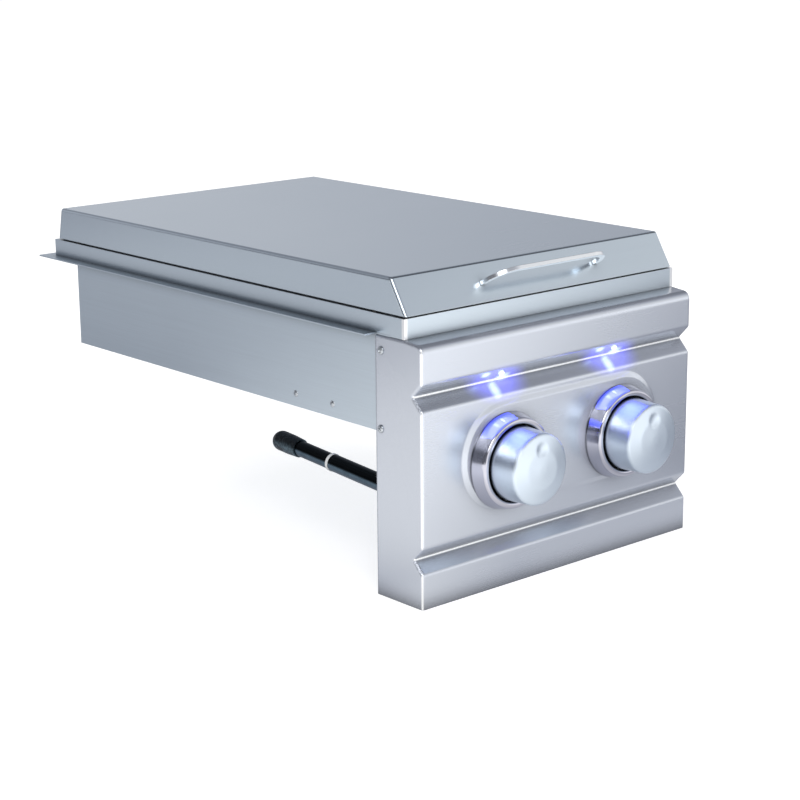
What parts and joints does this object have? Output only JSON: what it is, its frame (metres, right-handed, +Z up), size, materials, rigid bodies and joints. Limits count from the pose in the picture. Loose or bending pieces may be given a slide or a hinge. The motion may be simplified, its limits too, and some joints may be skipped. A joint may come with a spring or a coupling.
{
  "type": "built-in side burner",
  "caption": "Drop-in stainless side burner for an outdoor kitchen: hinged low lid, pan with lift-off grates, flanged box and a tall control panel with push-and-turn knobs and a rear gas inlet.",
  "frame": {"origin": "Middle of the counter flange's rear strip, on its underside, where it rests on the counter.", "axes": "+X to the right seen from the control panel, +Y from the control panel to the rear, +Z up."},
  "size_m": [0.352, 0.6084, 0.2769],
  "materials": {
    "stainless": "brushed stainless sheet",
    "polished": "polished ring",
    "satin_knob": "satin plated",
    "black_pipe": "satin black paint",
    "black_cap": "rough black",
    "white_seal": "white",
    "blue_lens": "clear blue lens",
    "black_plastic": "black",
    "brass": "plain turned brass",
    "plated_steel": "zinc plated",
    "aluminium_tube": "plain drawn tube",
    "cast_burner": "sand cast, dark",
    "ceramic": "white ceramic with a metal electrode",
    "grate_steel": "round stainless bar",
    "bumper_rubber": "black rubber"
  },
  "bodies": {
    "burner_unit": {"control_panel": "stainless", "burner_box": "stainless", "top_frame": "stainless", "burner_pan": "stainless", "bezel_left": "polished", "bezel_right": "polished", "lamp_lens_left": "blue_lens", "lamp_lens_right": "blue_lens", "lamp_holder_left": "black_plastic", "lamp_holder_right": "black_plastic", "lamp_wiring": "black_plastic", "valve_left": "brass", "valve_right": "brass", "valve_bonnet_left": "plated_steel", "valve_bonnet_right": "plated_steel", "gas_rail": "plated_steel", "rail_plug": "plated_steel", "rail_brackets": "plated_steel", "inlet_elbow": "plated_steel", "supply_pipe": "black_pipe", "sealing_washer": "white_seal", "inlet_nipple": "black_pipe", "housing_screws": "plated_steel", "box_rivets": "plated_steel", "burner_support_front": "plated_steel", "burner_support_rear": "plated_steel", "burner_bowl_front": "cast_burner", "burner_bowl_rear": "cast_burner", "burner_ring_front": "brass", "burner_ring_rear": "brass", "gas_jet_front": "brass", "gas_jet_rear": "brass", "feed_tube_front": "aluminium_tube", "feed_tube_rear": "aluminium_tube", "igniter_front": "ceramic", "igniter_rear": "ceramic", "igniter_leads": "black_plastic", "hinge_fixed_leaf_left": "stainless", "hinge_fixed_leaf_right": "stainless", "hinge_pins": "plated_steel", "lid_bumpers": "bumper_rubber"},
    "lid_assembly": {"lid": "stainless", "lid_grip": "stainless", "hinge_moving_leaf_left": "stainless", "hinge_moving_leaf_right": "stainless"},
    "valve_rotor_left": {"valve_plug_left": "brass"},
    "knob_assembly_left": {"knob_left": "satin_knob", "valve_stem_left": "plated_steel"},
    "valve_rotor_right": {"valve_plug_right": "brass"},
    "knob_assembly_right": {"knob_right": "satin_knob", "valve_stem_right": "plated_steel"},
    "inlet_cover": {"inlet_cap": "black_cap"},
    "front_burner_cap": {"burner_cap_front": "brass"},
    "rear_burner_cap": {"burner_cap_rear": "brass"},
    "front_air_shutter": {"air_shutter_front": "plated_steel"},
    "rear_air_shutter": {"air_shutter_rear": "plated_steel"},
    "front_grate": {"grate_front": "grate_steel"},
    "rear_grate": {"grate_rear": "grate_steel"}
  },
  "joints": [
    {"name": "lid_hinge", "type": "hinge", "parent": "burner_unit", "child": "lid_assembly", "pos_m": [0, 0.018, 0.019], "axis": [-1, 0, 0], "range_deg": [0, 95]},
    {"name": "knob_turn_left", "type": "hinge", "parent": "burner_unit", "child": "valve_rotor_left", "pos_m": [-0.0696, -0.5375, -0.115], "axis": [0, -1, 0], "range_deg": [0, 210]},
    {"name": "knob_push_left", "type": "slide", "parent": "valve_rotor_left", "child": "knob_assembly_left", "axis": [0, 1, 0], "range_m": [0, 0.003], "stiffness_N_per_m": 1500, "springref_m": -0.002},
    {"name": "knob_turn_right", "type": "hinge", "parent": "burner_unit", "child": "valve_rotor_right", "pos_m": [0.0696, -0.5375, -0.115], "axis": [0, -1, 0], "range_deg": [0, 210]},
    {"name": "knob_push_right", "type": "slide", "parent": "valve_rotor_right", "child": "knob_assembly_right", "axis": [0, 1, 0], "range_m": [0, 0.003], "stiffness_N_per_m": 1500, "springref_m": -0.002},
    {"name": "front_shutter_turn", "type": "hinge", "parent": "burner_unit", "child": "front_air_shutter", "pos_m": [0, -0.4375, -0.06], "axis": [0, -1, 0], "range_deg": [0, 60]},
    {"name": "front_cap_lift", "type": "slide", "parent": "burner_unit", "child": "front_burner_cap", "axis": [0, 0, 1], "range_m": [0, 0.012]},
    {"name": "front_grate_lift", "type": "slide", "parent": "burner_unit", "child": "front_grate", "axis": [0, 0, 1], "range_m": [0, 0.014]},
    {"name": "rear_shutter_turn", "type": "hinge", "parent": "burner_unit", "child": "rear_air_shutter", "pos_m": [0, -0.1995, -0.06], "axis": [0, -1, 0], "range_deg": [0, 60]},
    {"name": "rear_cap_lift", "type": "slide", "parent": "burner_unit", "child": "rear_burner_cap", "axis": [0, 0, 1], "range_m": [0, 0.012]},
    {"name": "rear_grate_lift", "type": "slide", "parent": "burner_unit", "child": "rear_grate", "axis": [0, 0, 1], "range_m": [0, 0.014]},
    {"name": "inlet_cap_pull", "type": "slide", "parent": "burner_unit", "child": "inlet_cover", "axis": [0, 0.9974, 0.0715], "range_m": [0, 0.03]}
  ]
}
